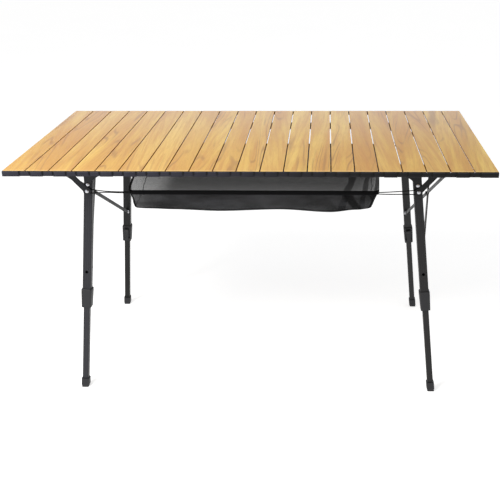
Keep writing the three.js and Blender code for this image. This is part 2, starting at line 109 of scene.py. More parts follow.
# ---------- camera ----------
def make_camera():
    yaw, pitch, roll = -0.0406, 0.4058, -0.0094
    forward = Vector(
        (math.sin(yaw) * math.cos(pitch), math.cos(yaw) * math.cos(pitch), -math.sin(pitch))
    )
    right = Vector((math.cos(yaw), -math.sin(yaw), 0))
    up = right.cross(forward)
    turned_right = right * math.cos(roll) + up * math.sin(roll)
    turned_up = up * math.cos(roll) - right * math.sin(roll)
    data = bpy.data.cameras.new("camera")
    data.sensor_width = 36
    data.lens = 58.015
    data.shift_x = -0.0898
    data.shift_y = 0.0087
    camera = bpy.data.objects.new("camera", data)
    camera.matrix_world = Matrix.Translation((0.1869, -2.1652, 1.2240)) @ Matrix(
        (turned_right, turned_up, -forward)
    ).transposed().to_4x4()
    bpy.context.scene.collection.objects.link(camera)
    bpy.context.scene.camera = camera


make_camera()


# ---------- material helpers ----------
class Look:
    """A Principled material, with short ways to add and join its nodes."""

    def __init__(self, name, **sockets):
        self.material = bpy.data.materials.new(name)
        self.material.use_nodes = True
        self.tree = self.material.node_tree
        self.bsdf = self.tree.nodes["Principled BSDF"]
        self.set(self.bsdf, sockets)
        self.coordinates = self.node("TexCoord").outputs["Object"]

    def set(self, node, sockets):
        for key, value in sockets.items():
            socket = node.inputs[key] if isinstance(key, int) else node.inputs[key.replace("_", " ")]
            if hasattr(value, "is_linked"):
                self.tree.links.new(value, socket)
            else:
                socket.default_value = value

    def node(self, kind, settings=None, **sockets):
        made = self.tree.nodes.new("ShaderNode" + kind)
        for key, value in (settings or {}).items():
            setattr(made, key, value)
        self.set(made, sockets)
        return made

    def math(self, operation, a, b=0.0, c=0.0):
        made = self.node("Math", {"operation": operation})
        self.set(made, {0: a, 1: b, 2: c})
        return made.outputs[0]

    def spread(self, value, low, high, to_low=0.0, to_high=1.0):
        made = self.node("MapRange", {"interpolation_type": "SMOOTHSTEP"}, Value=value)
        self.set(made, {1: low, 2: high, 3: to_low, 4: to_high})
        return made.outputs[0]

    def mapped(self, scale=(1, 1, 1), offset=(0, 0, 0), turn=(0, 0, 0), source=None):
        source = source or self.coordinates
        made = self.node("Mapping", Vector=source, Location=offset, Rotation=turn, Scale=scale)
        return made.outputs[0]

    def noise(self, vector, scale, detail=3.0, roughness=0.5, distortion=0.0):
        made = self.node(
            "TexNoise", Vector=vector, Scale=scale, Detail=detail, Roughness=roughness, Distortion=distortion
        )
        return made.outputs["Fac"]

    def split(self, vector=None):
        return self.node("SeparateXYZ", Vector=vector or self.coordinates).outputs

    def join(self, x, y, z):
        return self.node("CombineXYZ", X=x, Y=y, Z=z).outputs[0]

    def mix(self, share, a, b, blend="MIX"):
        made = self.node("Mix", {"data_type": "RGBA", "blend_type": blend, "clamp_factor": True})
        self.set(made, {0: share, 6: a, 7: b})
        return made.outputs[2]

    def tint(self, body, mask, strength, colour):
        """Mixes a colour into body where mask is high."""
        return self.mix(self.math("MULTIPLY", mask, strength), body, colour)

    def ramp(self, value, *stops):
        made = self.node("ValToRGB", Fac=value)
        elements = made.color_ramp.elements
        for element, (position, colour) in zip(elements, stops):
            element.position, element.color = position, colour
        for position, colour in stops[2:]:
            elements.new(position).color = colour
        return made.outputs["Color"]

    def bump(self, height, strength, distance, under=None):
        made = self.node("Bump", Height=height, Strength=strength, Distance=distance)
        if under is not None:
            self.set(made, {"Normal": under})
        return made.outputs[0]

    def finish(self, **sockets):
        self.set(self.bsdf, sockets)
        return self.material


def rgb(red, green, blue):
    """A linear colour from its 0 to 255 screen values."""
    return tuple(pow(value / 255, 2.2) for value in (red, green, blue)) + (1.0,)


def paler(colour, gain, lift):
    return tuple(min(1.0, channel * gain + lift) for channel in colour[:3]) + (1.0,)


# ---------- materials ----------
def wood_film_look():
    """Printed teak film: long streaks, and veins that run, arch and close along each slat."""
    look = Look("wood_film", Roughness=0.5, Specular_IOR_Level=0.0, Coat_Weight=0.30, Coat_Roughness=0.18)
    x, y, z = look.split()[:3]
    shifted = look.math("ADD", x, SLAT_PITCH * SLAT_COUNT / 2)
    index = look.math("FLOOR", look.math("DIVIDE", shifted, SLAT_PITCH))
    chance = look.node("TexWhiteNoise", {"noise_dimensions": "1D"}, W=look.math("ADD", index, 0.5))
    tone = chance.outputs["Value"]
    hop = look.math("MULTIPLY", tone, 53.0)
    along = look.math("ADD", y, hop)
    slant = look.math("MULTIPLY_ADD", y, look.math("MULTIPLY_ADD", tone, 0.16, -0.08), x)

    def drawn_out(across, across_scale, along_scale):
        wide = look.math("MULTIPLY", across, across_scale)
        return look.join(wide, look.math("MULTIPLY", along, along_scale), hop)

    # broad figure, drawn out along the slat; its contour lines are the veins
    figure = look.noise(drawn_out(slant, 14.0, 1.25), 1.0, 2.0, 0.4, 0.25)
    contour = look.math("PINGPONG", look.math("MULTIPLY", figure, 15.0), 0.5)
    veins = look.spread(contour, 0.28, 0.48)
    patches = look.spread(look.noise(drawn_out(slant, 22.0, 2.0), 1.0, 2.0, 0.5), 0.46, 0.66)
    streaks = look.spread(look.noise(drawn_out(slant, 105.0, 4.5), 1.0, 3.0, 0.55, 0.4), 0.30, 0.72)
    fine = look.noise(drawn_out(slant, 620.0, 26.0), 1.0, 3.0, 0.6)
    pores = look.spread(look.noise(drawn_out(x, 1500.0, 45.0), 1.0, 2.0, 0.5), 0.62, 0.72)
    body = look.ramp(
        look.spread(figure, 0.30, 0.70),
        (0.0, rgb(208, 161, 90)),
        (1.0, rgb(232, 197, 112)),
        (0.45, rgb(222, 182, 99)),
    )
    body = look.tint(body, streaks, 0.58, rgb(198, 143, 86))
    body = look.tint(body, look.math("MULTIPLY", veins, patches), 0.58, rgb(134, 102, 80))
    body = look.tint(body, patches, 0.28, rgb(190, 134, 80))
    body = look.tint(body, look.spread(fine, 0.4, 0.8), 0.25, rgb(150, 106, 66))
    body = look.tint(body, pores, 0.2, rgb(112, 78, 52))
    body = look.tint(body, look.spread(tone, 0.35, 1.0), 0.26, rgb(190, 138, 88))
    # painted highlight: a pale band along the front edge of each slat's top, where the edge catches the
    # light
    rim = look.spread(y, TABLE_FRONT + 0.002, TABLE_FRONT + 0.012, 0.45, 0.0)
    body = look.mix(rim, body, rgb(246, 208, 138))
    # painted shade: the rolled lips down in the gaps between slats are drawn in a darker, redder film, with
    # bare charcoal metal below them
    painted_lip_shade = look.spread(z, TABLE_TOP - 0.0022, TABLE_TOP - 0.0006)
    body = look.mix(painted_lip_shade, rgb(112, 58, 26), body)
    film = look.spread(z, TABLE_TOP - 0.0066, TABLE_TOP - 0.0061)
    body = look.mix(film, rgb(40, 36, 36), body)
    cut_end = look.spread(look.math("ABSOLUTE", y), -TABLE_FRONT - 0.0007, -TABLE_FRONT - 0.0003)
    body = look.mix(cut_end, body, rgb(30, 28, 28))
    height = look.math("ADD", look.math("MULTIPLY", fine, 0.6), look.math("MULTIPLY", pores, -0.5))
    rough = look.spread(streaks, 0.2, 0.8, 0.46, 0.56)
    return look.finish(Base_Color=body, Roughness=rough, Normal=look.bump(height, 0.10, 0.0003))


def powder_coat_look(name, colour, sheen=0.42, ribs=None):
    """Charcoal powder coat; ribs gives the signs of a leg whose faces carry long drawn ribs."""
    look = Look(name, Specular_IOR_Level=0.28)
    fine = look.noise(look.coordinates, 900.0, 2.0, 0.6)
    broad = look.noise(look.coordinates, 14.0, 3.0, 0.55)
    dust_and_painted_light = look.spread(look.noise(look.coordinates, 60.0, 4.0, 0.6), 0.62, 0.82)
    light = paler(colour, 1.7, 0.004)
    body = look.tint(colour, broad, 0.5, light)
    body = look.tint(body, dust_and_painted_light, 0.06, rgb(130, 130, 130))
    rough = look.spread(broad, 0.2, 0.8, sheen - 0.06, sheen + 0.08)
    normal = look.bump(fine, 0.18, 0.0003)
    if ribs:
        x, y, z = look.split()[:3]
        height = None
        for sign, lean, foot, place in zip(ribs, LEAN, FOOT, (x, y)):
            # with the leg's lean taken out, so that the ribs run along it
            upright = look.math("MULTIPLY_ADD", z, sign * lean, place)
            centred = look.math("ABSOLUTE", look.math("SUBTRACT", upright, sign * foot))
            groove = look.math("PINGPONG", centred, 0.0026)
            cut = look.spread(groove, 0.0003, 0.0011)
            height = cut if height is None else look.math("ADD", height, cut)
        # painted highlight: the rib tops are drawn paler than the grooves between them
        body = look.tint(body, height, 0.45, light)
        normal = look.bump(height, 0.7, 0.0008, normal)
    return look.finish(Base_Color=body, Roughness=rough, Normal=normal)


def plastic_look(name, colour, sheen=0.5):
    """Moulded nylon with a fine spark-eroded grain and slightly rubbed high spots."""
    look = Look(name, Specular_IOR_Level=0.3)
    grain = look.noise(look.coordinates, 1400.0, 2.0, 0.6)
    cloud = look.noise(look.coordinates, 35.0, 3.0, 0.5)
    body = look.tint(colour, cloud, 0.55, paler(colour, 1.8, 0.006))
    rough = look.spread(cloud, 0.25, 0.75, sheen - 0.07, sheen + 0.07)
    return look.finish(Base_Color=body, Roughness=rough, Normal=look.bump(grain, 0.22, 0.0003))


def steel_look():
    """Zinc-plated rivet steel, lightly brushed."""
    look = Look("rivet_steel", Metallic=1.0)
    scratch = look.noise(look.mapped(scale=(900, 900, 160)), 1.0, 3.0, 0.6)
    body = look.mix(scratch, rgb(150, 150, 154), rgb(212, 212, 216))
    rough = look.spread(scratch, 0.2, 0.8, 0.26, 0.46)
    return look.finish(Base_Color=body, Roughness=rough, Normal=look.bump(scratch, 0.10, 0.0002))


def link_look():
    """Soft charcoal end plugs and links, with painted light: paler and bluer towards the left end, a painted
    highlight along the top edge, and painted shade along the bottom and in the notches between them.
    """
    look = Look("link_rubber", Specular_IOR_Level=0.25)
    x, y, z = look.split()[:3]
    grain = look.noise(look.coordinates, 1400.0, 2.0, 0.6)
    cloud = look.noise(look.coordinates, 48.0, 3.0, 0.55)
    uneven = look.math("MULTIPLY_ADD", cloud, 0.5, -0.25)
    # painted light: paler and bluer towards the left end and near-black at the right, uneven in patches
    dust_and_painted_light = look.math("ADD", look.spread(x, -0.20, 0.34, 1.0, 0.0), uneven)
    body = look.mix(dust_and_painted_light, rgb(8, 6, 7), rgb(37, 36, 44))
    # painted highlight: paler along the top edge
    painted_top_highlight = look.spread(z, TABLE_TOP - 0.0034, TABLE_TOP - 0.0012)
    body = look.tint(body, painted_top_highlight, 0.42, rgb(66, 67, 76))
    # painted shade: darker and more purple along the bottom edge
    painted_bottom_shade = look.spread(z, TABLE_TOP - SLAT_DEPTH, TABLE_TOP - SLAT_DEPTH + 0.004, 0.5, 0.0)
    body = look.mix(painted_bottom_shade, body, rgb(22, 20, 26))
    # painted shade: near-black on the sunken backing and side walls of the notches
    painted_notch_shade = look.spread(look.math("ABSOLUTE", y), -TABLE_FRONT + 0.0004, -TABLE_FRONT + 0.0022)
    body = look.mix(painted_notch_shade, rgb(4, 4, 5), body)
    rough = look.spread(cloud, 0.25, 0.75, 0.40, 0.55)
    return look.finish(Base_Color=body, Roughness=rough, Normal=look.bump(grain, 0.22, 0.0003))


def mesh_cloth_look():
    """Knitted see-through mesh: small oval holes in rows, closed up where the cloth folds and creases, with
    painted shade in the folds and creases.
    """
    look = Look("bag_mesh", Roughness=0.85, Specular_IOR_Level=0.08, Sheen_Weight=0.04, Sheen_Roughness=0.5)
    flat = look.node("TexCoord").outputs["UV"]
    u, v = look.split(flat)[:2]
    hole = 0.0024
    row = look.math("FLOOR", look.math("DIVIDE", v, hole))
    stagger = look.math("MULTIPLY", look.math("PINGPONG", row, 1.0), hole / 2)
    across = look.math("PINGPONG", look.math("ADD", u, stagger), hole / 2)
    down = look.math("SUBTRACT", hole / 2, look.math("PINGPONG", v, hole / 2))
    far = look.math(
        "SQRT", look.math("ADD", look.math("POWER", across, 2.0), look.math("POWER", down, 2.0))
    )
    thread = look.spread(far, hole * 0.28, hole * 0.42)
    crease_at = look.mapped(scale=(1.0, 2.4, 1.0), turn=(0, 0, 0.5), source=flat)
    crease = look.spread(look.noise(crease_at, 9.0, 1.0, 0.5), 0.47, 0.68, 0.0, 0.85)
    # gathered folds towards both ends, and a lighter, more open net at the left end
    x, y = look.split()[:2]
    ends = look.spread(look.math("ABSOLUTE", x), 0.14, 0.23)
    folds = look.node(
        "TexWave",
        {"wave_type": "BANDS", "bands_direction": "X", "wave_profile": "SIN"},
        Vector=look.mapped(turn=(0, 0.55, 0.12)),
        Scale=5.8,
        Distortion=1.5,
        Detail=1.0,
        Detail_Scale=1.4,
    ).outputs["Fac"]
    gather = look.spread(folds, 0.35, 0.80, 0.0, look.spread(x, -0.20, 0.10, 0.45, 0.97))
    crease = look.math("MAXIMUM", crease, look.math("MULTIPLY", gather, ends))
    open_net = look.spread(x, -0.31, -0.25, 0.20, 0.0)
    # the inside of the back wall lies in the shade of the top
    back = look.spread(y, -0.12, 0.12)
    cloud = look.spread(look.noise(look.mapped(scale=(9, 9, 26)), 1.0, 3.0, 0.6), 0.32, 0.68)
    shaded = look.mix(back, rgb(20, 20, 21), rgb(3, 3, 4))
    body = look.mix(cloud, shaded, look.mix(back, rgb(48, 48, 50), rgb(20, 20, 22)))
    body = look.mix(open_net, body, rgb(96, 96, 97))
    # painted shade: the folds and creases are drawn near-black, on top of their denser net
    body = look.mix(crease, body, rgb(9, 9, 10))
    net = look.math("MULTIPLY_ADD", back, 0.09, look.math("MULTIPLY_ADD", thread, 0.12, 0.79))
    net = look.math("SUBTRACT", net, look.math("MULTIPLY", open_net, 0.5))
    opaque = look.math("MAXIMUM", net, crease)
    return look.finish(Base_Color=body, Alpha=opaque, Normal=look.bump(thread, 0.35, 0.0004))


def webbing_look(name, colour):
    """Black woven binding: short diagonal ribs with soft fibre."""
    look = Look(name, Roughness=0.8, Specular_IOR_Level=0.1, Sheen_Weight=0.03, Sheen_Roughness=0.5)
    weave = look.node(
        "TexWave",
        {"wave_type": "BANDS", "bands_direction": "DIAGONAL", "wave_profile": "SIN"},
        Vector=look.coordinates,
        Scale=520.0,
        Distortion=1.0,
        Detail=1.0,
    ).outputs["Fac"]
    fibre = look.noise(look.coordinates, 700.0, 3.0, 0.6)
    body = look.tint(colour, weave, 0.4, rgb(24, 24, 26))
    height = look.math("ADD", weave, look.math("MULTIPLY", fibre, 0.5))
    return look.finish(Base_Color=body, Normal=look.bump(height, 0.35, 0.0004))


LOOKS = {
    "wood": wood_film_look(),
    # painted light: the gussets and braces share one coat, drawn as a lit copy on the left and a shaded copy
    # on the right
    "plate_left": powder_coat_look("frame_plate_left", rgb(26, 26, 29)),
    "plate_right": powder_coat_look("frame_plate_right", rgb(15, 14, 15)),
    "rail": powder_coat_look("frame_rail", rgb(30, 30, 33)),
    # painted light: the scissor bars share one coat, drawn as a shaded copy on the left and a lit copy on
    # the right
    "bar_left": powder_coat_look("scissor_bar_left", rgb(27, 27, 28), 0.42),
    "bar_right": powder_coat_look("scissor_bar_right", rgb(50, 50, 51), 0.38),
    "plastic": plastic_look("black_plastic", rgb(35, 35, 37)),
    "link": link_look(),
    "steel": steel_look(),
    "mesh": mesh_cloth_look(),
    "tape": webbing_look("binding_tape", rgb(7, 7, 8)),
    "cord": webbing_look("elastic_braid", rgb(8, 8, 9)),
}
# painted light: one leg coat in lit and shaded copies, palest on the front left leg and near-black on the
# back left leg
LEG_LIT_AND_SHADED_COLOURS = {
    "front_left": rgb(31, 31, 35),
    "front_right": rgb(23, 22, 23),
    "back_left": rgb(6, 6, 7),
    "back_right": rgb(31, 31, 32),
}
for label, signs in SIDES.items():
    LOOKS["leg_" + label] = powder_coat_look("leg_tube_" + label, LEG_LIT_AND_SHADED_COLOURS[label], 0.40, signs)


# ---------- mesh helpers ----------
def show(name, mesh, look, smooth=True):
    for polygon in mesh.polygons:
        polygon.use_smooth = smooth
    piece = bpy.data.objects.new(name, mesh)
    bpy.context.scene.collection.objects.link(piece)
    mesh.materials.append(LOOKS[look])
    return piece


def new_piece(name, vertices, faces, look, smooth=True):
    mesh = bpy.data.meshes.new(name)
    mesh.from_pydata([tuple(vertex) for vertex in vertices], [], faces)
    mesh.update()
    return show(name, mesh, look, smooth)


def from_bmesh(name, built, look):
    mesh = bpy.data.meshes.new(name)
    bmesh.ops.recalc_face_normals(built, faces=built.faces)
    built.to_mesh(mesh)
    built.free()
    return show(name, mesh, look)


def add_bevel(piece, width, segments=2, angle=35):
    bevel = piece.modifiers.new("edges", "BEVEL")
    bevel.width = width
    bevel.segments = segments
    bevel.limit_method = "ANGLE"
    bevel.angle_limit = math.radians(angle)
    bevel.harden_normals = True


def extruded(outline, near, far, radius, cuts=(), built=None):
    """A plate of (x, z) points between two y planes, with round edges, cut across so that it can bend."""
    built = built or bmesh.new()
    had = set(built.edges)
    front = [built.verts.new((x, near, z)) for x, z in outline]
    back = [built.verts.new((x, far, z)) for x, z in outline]
    built.faces.new(front)
    built.faces.new(list(reversed(back)))
    for i in range(len(outline)):
        after = (i + 1) % len(outline)
        built.faces.new((front[i], back[i], back[after], front[after]))
    bmesh.ops.recalc_face_normals(built, faces=built.faces[:])
    edges = [edge for edge in built.edges if edge not in had]
    bmesh.ops.bevel(
        built, geom=edges, offset=radius, segments=2, profile=0.6, affect="EDGES", clamp_overlap=True
    )
    for at in cuts:
        geometry = built.verts[:] + built.edges[:] + built.faces[:]
        bmesh.ops.bisect_plane(built, geom=geometry, plane_co=(at, 0, 0), plane_no=(1, 0, 0))
    return built


def turned(name, profile, place, direction, look, sides=28):
    """A turned head: profile points are (radius, height), from the rim to the middle."""
    turn = Vector((0, 0, 1)).rotation_difference(Vector(direction)).to_matrix()
    place = Vector(place)
    vertices, faces = [], []
    rings = [point for point in profile if point[0] > 0]
    for radius, height in rings:
        for step in range(sides):
            angle = 2 * math.pi * step / sides
            local = Vector((radius * math.cos(angle), radius * math.sin(angle), height))
            vertices.append(place + turn @ local)
    for ring in range(len(rings) - 1):
        for step in range(sides):
            after = (step + 1) % sides
            a, b = ring * sides, (ring + 1) * sides
            faces.append((a + step, a + after, b + after, b + step))
    top = len(vertices)
    vertices.append(place + turn @ Vector((0, 0, profile[-1][1])))
    last = (len(rings) - 1) * sides
    for step in range(sides):
        faces.append((last + step, last + (step + 1) % sides, top))
    faces.append(tuple(reversed(range(sides))))
    return new_piece(name, vertices, faces, look)


def dome_profile(radius, height, steps=7):
    rim = [(radius, 0.0), (radius, height * 0.18)]
    arc = [
        (radius * math.cos(a), height * (0.18 + 0.82 * math.sin(a)))
        for a in [math.pi / 2 * step / steps for step in range(1, steps)]
    ]
    return rim + arc + [(0, height)]


def swept(name, route, radius, look, sides=12, closed=False):
    """A round cord along route points, as a mesh whose frames turn as little as they can."""
    count = len(route)
    tangents = []
    for i in range(count):
        before = route[i - 1] if closed or i else route[0]
        after = route[(i + 1) % count] if closed or i + 1 < count else route[-1]
        tangents.append((after - before).normalized())
    normal = tangents[0].orthogonal().normalized()
    vertices, faces = [], []
    for i, point in enumerate(route):
        if i:
            normal = tangents[i - 1].rotation_difference(tangents[i]) @ normal
        side = tangents[i].cross(normal)
        for step in range(sides):
            angle = 2 * math.pi * step / sides
            vertices.append(point + (normal * math.cos(angle) + side * math.sin(angle)) * radius)
    rings = count if closed else count - 1
    for i in range(rings):
        a, b = i * sides, ((i + 1) % count) * sides
        for step in range(sides):
            after = (step + 1) % sides
            faces.append((a + step, a + after, b + after, b + step))
    if not closed:
        faces.append(tuple(reversed(range(sides))))
        faces.append(tuple(range((count - 1) * sides, count * sides)))
    return new_piece(name, vertices, faces, look)


def curve_at(points, i, t):
    """A Catmull-Rom curve through points, at the share t of the way from point i to the next."""
    last = len(points) - 1
    p0, p1, p2, p3 = (points[min(max(i + step, 0), last)] for step in (-1, 0, 1, 2))
    squared = (2 * p0 - 5 * p1 + 4 * p2 - p3) * t * t
    cubed = (3 * p1 - p0 - 3 * p2 + p3) * t**3
    return 0.5 * (2 * p1 + (p2 - p0) * t + squared + cubed)


def smooth_route(points, per_span=6):
    spans = range(len(points) - 1)
    route = [curve_at(points, i, step / per_span) for i in spans for step in range(per_span)]
    return route + [points[-1]]


# ---------- CAD nodes that keep their shape ----------
def dress_cad_nodes():
    looks = [
        ("slat_", "wood", 0.0005),
        ("rail_", "rail", 0.0006),
        ("gusset_", "plate_", 0.0005),
        ("brace_", "plate_", 0.0005),
        ("scissor_bar_", "bar_", 0.0005),
        ("collar_", "plastic", 0.0006),
        ("lock_lever_", "plastic", 0.0006),
        ("foot_", "plastic", 0.0008),
        ("leg_", "leg_", 0.0005),
    ]
    for name, node in NODES.items():
        for prefix, look, edge in looks:
            if name.startswith(prefix):
                if look == "leg_":
                    look += name.split("_", 2)[2]
                if look in ("bar_", "plate_"):
                    look += name.rsplit("_", 1)[1]
                node.data.materials.clear()
                node.data.materials.append(LOOKS[look])
                for polygon in node.data.polygons:
                    polygon.use_smooth = False
                add_bevel(node, edge)


dress_cad_nodes()


# ---------- end plugs and links ----------
PLUG_HALF = 0.0137
PLUG_PROUD = 0.0028
BACKING = 0.0007
LINK_HALF = 0.0104
FLANGE = 0.0020
NOTCH_SHARE = 0.56
LINK_CUTS = 7
LINK_SET_BACK = 0.0004
STRIP_LAP = 0.0002
END_OVERHANG = 0.0004
PLUG_TOP, PLUG_BOTTOM = TABLE_TOP - 0.0007, TABLE_TOP - SLAT_DEPTH - 0.0003
LINK_TOP, LINK_BOTTOM = TABLE_TOP - 0.0011, TABLE_TOP - SLAT_DEPTH + 0.0006


def flanged_outline(left, right, top, bottom, left_flange, right_flange):
    """A plate front: straight down past the notches, then out on each side to a lower flange."""
    ledge = top + (bottom - top) * NOTCH_SHARE
    slope = (bottom - top) * 0.14
    points = [(left, top), (right, top)]
    if right_flange:
        points += [(right, ledge), (right + right_flange, ledge + slope)]
    points += [(right + right_flange, bottom), (left - left_flange, bottom)]
    if left_flange:
        points += [(left - left_flange, ledge + slope), (left, ledge)]
    return points


def add_plug(end, i, outer, middle_y, inner, sign):
    """A plug that stands out from one end of a slat, on a thin plate as wide as the slat."""
    low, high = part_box(SLAT_NAMES[i])
    middle = (low.x + high.x) / 2
    left, right = middle - PLUG_HALF, middle + PLUG_HALF
    left_flange = right_flange = FLANGE
    if i == 0:
        left, left_flange = low.x - END_OVERHANG, 0
    if i == SLAT_COUNT - 1:
        right, right_flange = high.x + END_OVERHANG, 0
    outline = flanged_outline(left, right, PLUG_TOP, PLUG_BOTTOM, left_flange, right_flange)
    built = extruded(outline, outer, middle_y, 0.0007)
    cover = flanged_outline(low.x + 0.0002, high.x - 0.0002, PLUG_TOP, PLUG_BOTTOM + 0.0010, 0, 0)
    extruded(cover, middle_y - sign * STRIP_LAP, inner, 0.0001, built=built)
    plug = from_bmesh(f"end_plug_{end}_{i + 1:02d}", built, "link")
    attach(plug, slat_body(i))


def add_link(end, i, outer, middle_y, sign):
    """A soft link across the joint between slat i and the next, cut across at even steps."""
    joint_x = (i - (SLAT_COUNT - 2) / 2) * SLAT_PITCH
    left, right = joint_x - LINK_HALF, joint_x + LINK_HALF
    outline = flanged_outline(left, right, LINK_TOP, LINK_BOTTOM, FLANGE, FLANGE)
    cuts = [left + (right - left) * step / (LINK_CUTS + 1) for step in range(1, LINK_CUTS + 1)]
    built = extruded(outline, outer + sign * LINK_SET_BACK, middle_y - sign * STRIP_LAP, 0.0008, cuts)
    link = from_bmesh(f"end_link_{end}_{i + 1:02d}", built, "link")
    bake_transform(link)


def add_end_strip():
    """A plug on each slat end, and a soft link across each joint, along the front and the back."""
    for end, sign in (("front", 1), ("back", -1)):
        outer = sign * (TABLE_FRONT - PLUG_PROUD)
        middle_y = sign * (TABLE_FRONT - BACKING)
        inner = sign * (TABLE_FRONT - 0.0001)
        for i in range(SLAT_COUNT):
            add_plug(end, i, outer, middle_y, inner, sign)
        for i in range(SLAT_COUNT - 1):
            add_link(end, i, outer, middle_y, sign)


add_end_strip()


# ---------- rivets and pins ----------
RIVET_TOP = (0.4195, 0.5805)
RIVET_LOW = (0.4220, 0.5640)
SCISSOR_LOW = Vector((0.4410, 0.2110, 0.3450))
HEAD_RADIUS = 0.0050
HEAD_HEIGHT = 0.0034
HEAD_SINK = 0.0029
PIN_RADIUS = 0.0056
PIN_HEIGHT = 0.0030
PIN_SINK = 0.0018


def add_leg_rivets():
    for label, (sx, sy) in SIDES.items():
        gusset_face = abs(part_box("gusset_" + label)[0 if sy < 0 else 1].y)
        brace_face = abs(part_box("brace_" + label)[0 if sy < 0 else 1].y)
        for kind, (x, z), face in (
            ("gusset_rivet", RIVET_TOP, gusset_face),
            ("brace_rivet", RIVET_LOW, brace_face),
        ):
            place = (sx * x, sy * (face - HEAD_SINK), z)
            dome = dome_profile(HEAD_RADIUS, HEAD_HEIGHT)
            rivet = turned(f"{kind}_{label}", dome, place, (0, sy, 0), "steel")
            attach(rivet, side_body(label))


def add_scissor_pins():
    """A steel head on the open side of each bar's lower pivot."""
    for name, y_sign, facing in (("outer", -1, 1), ("inner", 1, -1)):
        for side, sx in (("right", 1), ("left", -1)):
            joint = JOINTS["frame_fold" if side == "right" else "fold_left"]
            along = Vector(joint["axis"]) * sx * facing
            pivot = Vector((sx * SCISSOR_LOW.x, y_sign * SCISSOR_LOW.y, SCISSOR_LOW.z))
            node = NODES[f"scissor_bar_{name}_{side}"]
            bar_face = 0.0
            for vertex in node.data.vertices:
                off = vertex.co - pivot
                height = off.dot(along)
                if (off - along * height).length < 0.006:
                    bar_face = max(bar_face, height)
            place = pivot + along * (bar_face - PIN_SINK)
            dome = dome_profile(PIN_RADIUS, PIN_HEIGHT)
            pin = turned(f"scissor_pin_{name}_{side}", dome, place, along, "steel")
            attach(pin, node["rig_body"])


add_leg_rivets()
add_scissor_pins()


# ---------- storage bag ----------
BAG_LOW, BAG_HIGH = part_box("storage_bag")
# the back of the rim is pulled wider than the front, and its front right corner wider than the left
BACK_PULL = 0.070
RIGHT_PULL = 0.016
# how much fuller the left end gets below the rim
LEFT_FULL = 0.024
# how far the middle of each end bows out
LEFT_BOW = 0.0115
RIGHT_BOW = 0.0030
RIM_HALF = Vector((BAG_HIGH.x / (1 + BACK_PULL), BAG_HIGH.y))
RIM_Z = BAG_HIGH.z - 0.0040
BASE_Z = BAG_LOW.z + 0.0015
WALL_RINGS = 26
FLOOR_RINGS = 30
AROUND = 400
HEM_HEIGHT = 0.0118
# the length round the rim, a little less than its box for the round corners
RIM_LENGTH = 4 * (RIM_HALF.x + RIM_HALF.y) * 0.99
# the ring of the bag where the walls turn into the floor
SEAM_RING = WALL_RINGS // 2
# the cloth needed down one wall, and the share of the flat sheet left once its corners are gathered
FLOOR_NET_SHIFT = 3.0
# the shape of the hung cloth: half length, half width, corner radius, height, from the rim inwards
BAG_LOOPS = [
    (RIM_HALF.x - 0.0012, RIM_HALF.y - 0.0012, 0.014, RIM_Z),
    (0.3105, 0.2180, 0.013, 0.5400),
    (0.3045, 0.2110, 0.011, 0.5200),
    (0.2995, 0.2030, 0.014, 0.5080),
    (0.2880, 0.1860, 0.030, 0.4985),
    (0.2580, 0.1400, 0.048, 0.4850),
    (0.2200, 0.1000, 0.050, BASE_Z + 0.0012),
]
# how far the lower edge of the long walls hangs above or below that shape, along the length
EDGE_SAG = [
    (-0.31, 0.002),
    (-0.27, 0.003),
    (-0.21, 0.001),
    (-0.09, -0.003),
    (0.07, 0.002),
    (0.20, -0.005),
    (0.27, 0.002),
    (0.31, 0.004),
]


def eased(table, at):
    """A smooth curve through (place, value) pairs."""
    if at <= table[0][0]:
        return table[0][1]
    for (before, a), (after, b) in zip(table, table[1:]):
        if at <= after:
            share = (at - before) / (after - before)
            share = share * share * (3 - 2 * share)
            return a + (b - a) * share
    return table[-1][1]


def rounded_outline(half_x, half_y, corner, count):
    """Points evenly spaced by length round a rectangle with round corners, from the middle of the front."""
    straight_x, straight_y = half_x - corner, half_y - corner
    arc = math.pi * corner / 2
    lengths = [straight_x, arc, 2 * straight_y, arc, 2 * straight_x, arc, 2 * straight_y, arc, straight_x]
    centres = [(1, -1), (1, 1), (-1, 1), (-1, -1)]
    total = sum(lengths)
    points = []
    for step in range(count):
        distance = total * step / count
        side = 0
        while distance > lengths[side] and side < 8:
            distance -= lengths[side]
            side += 1
        if side % 2:
            quarter = side // 2
            angle = math.pi / 2 * (quarter - 1) + distance / corner
            cx, cy = centres[quarter]
            x = cx * straight_x + corner * math.cos(angle)
            points.append((x, cy * straight_y + corner * math.sin(angle)))
        else:
            points.append(
                [
                    (distance, -half_y),
                    (half_x, distance - straight_y),
                    (straight_x - distance, half_y),
                    (-half_x, straight_y - distance),
                    (distance - straight_x, -half_y),
                ][side // 2]
            )
    return points


def loop_at(place):
    """The bag's loop at a place along BAG_LOOPS, on a smooth curve through them."""
    i = min(int(place), len(BAG_LOOPS) - 2)
    return curve_at([Vector(loop) for loop in BAG_LOOPS], i, place - i)


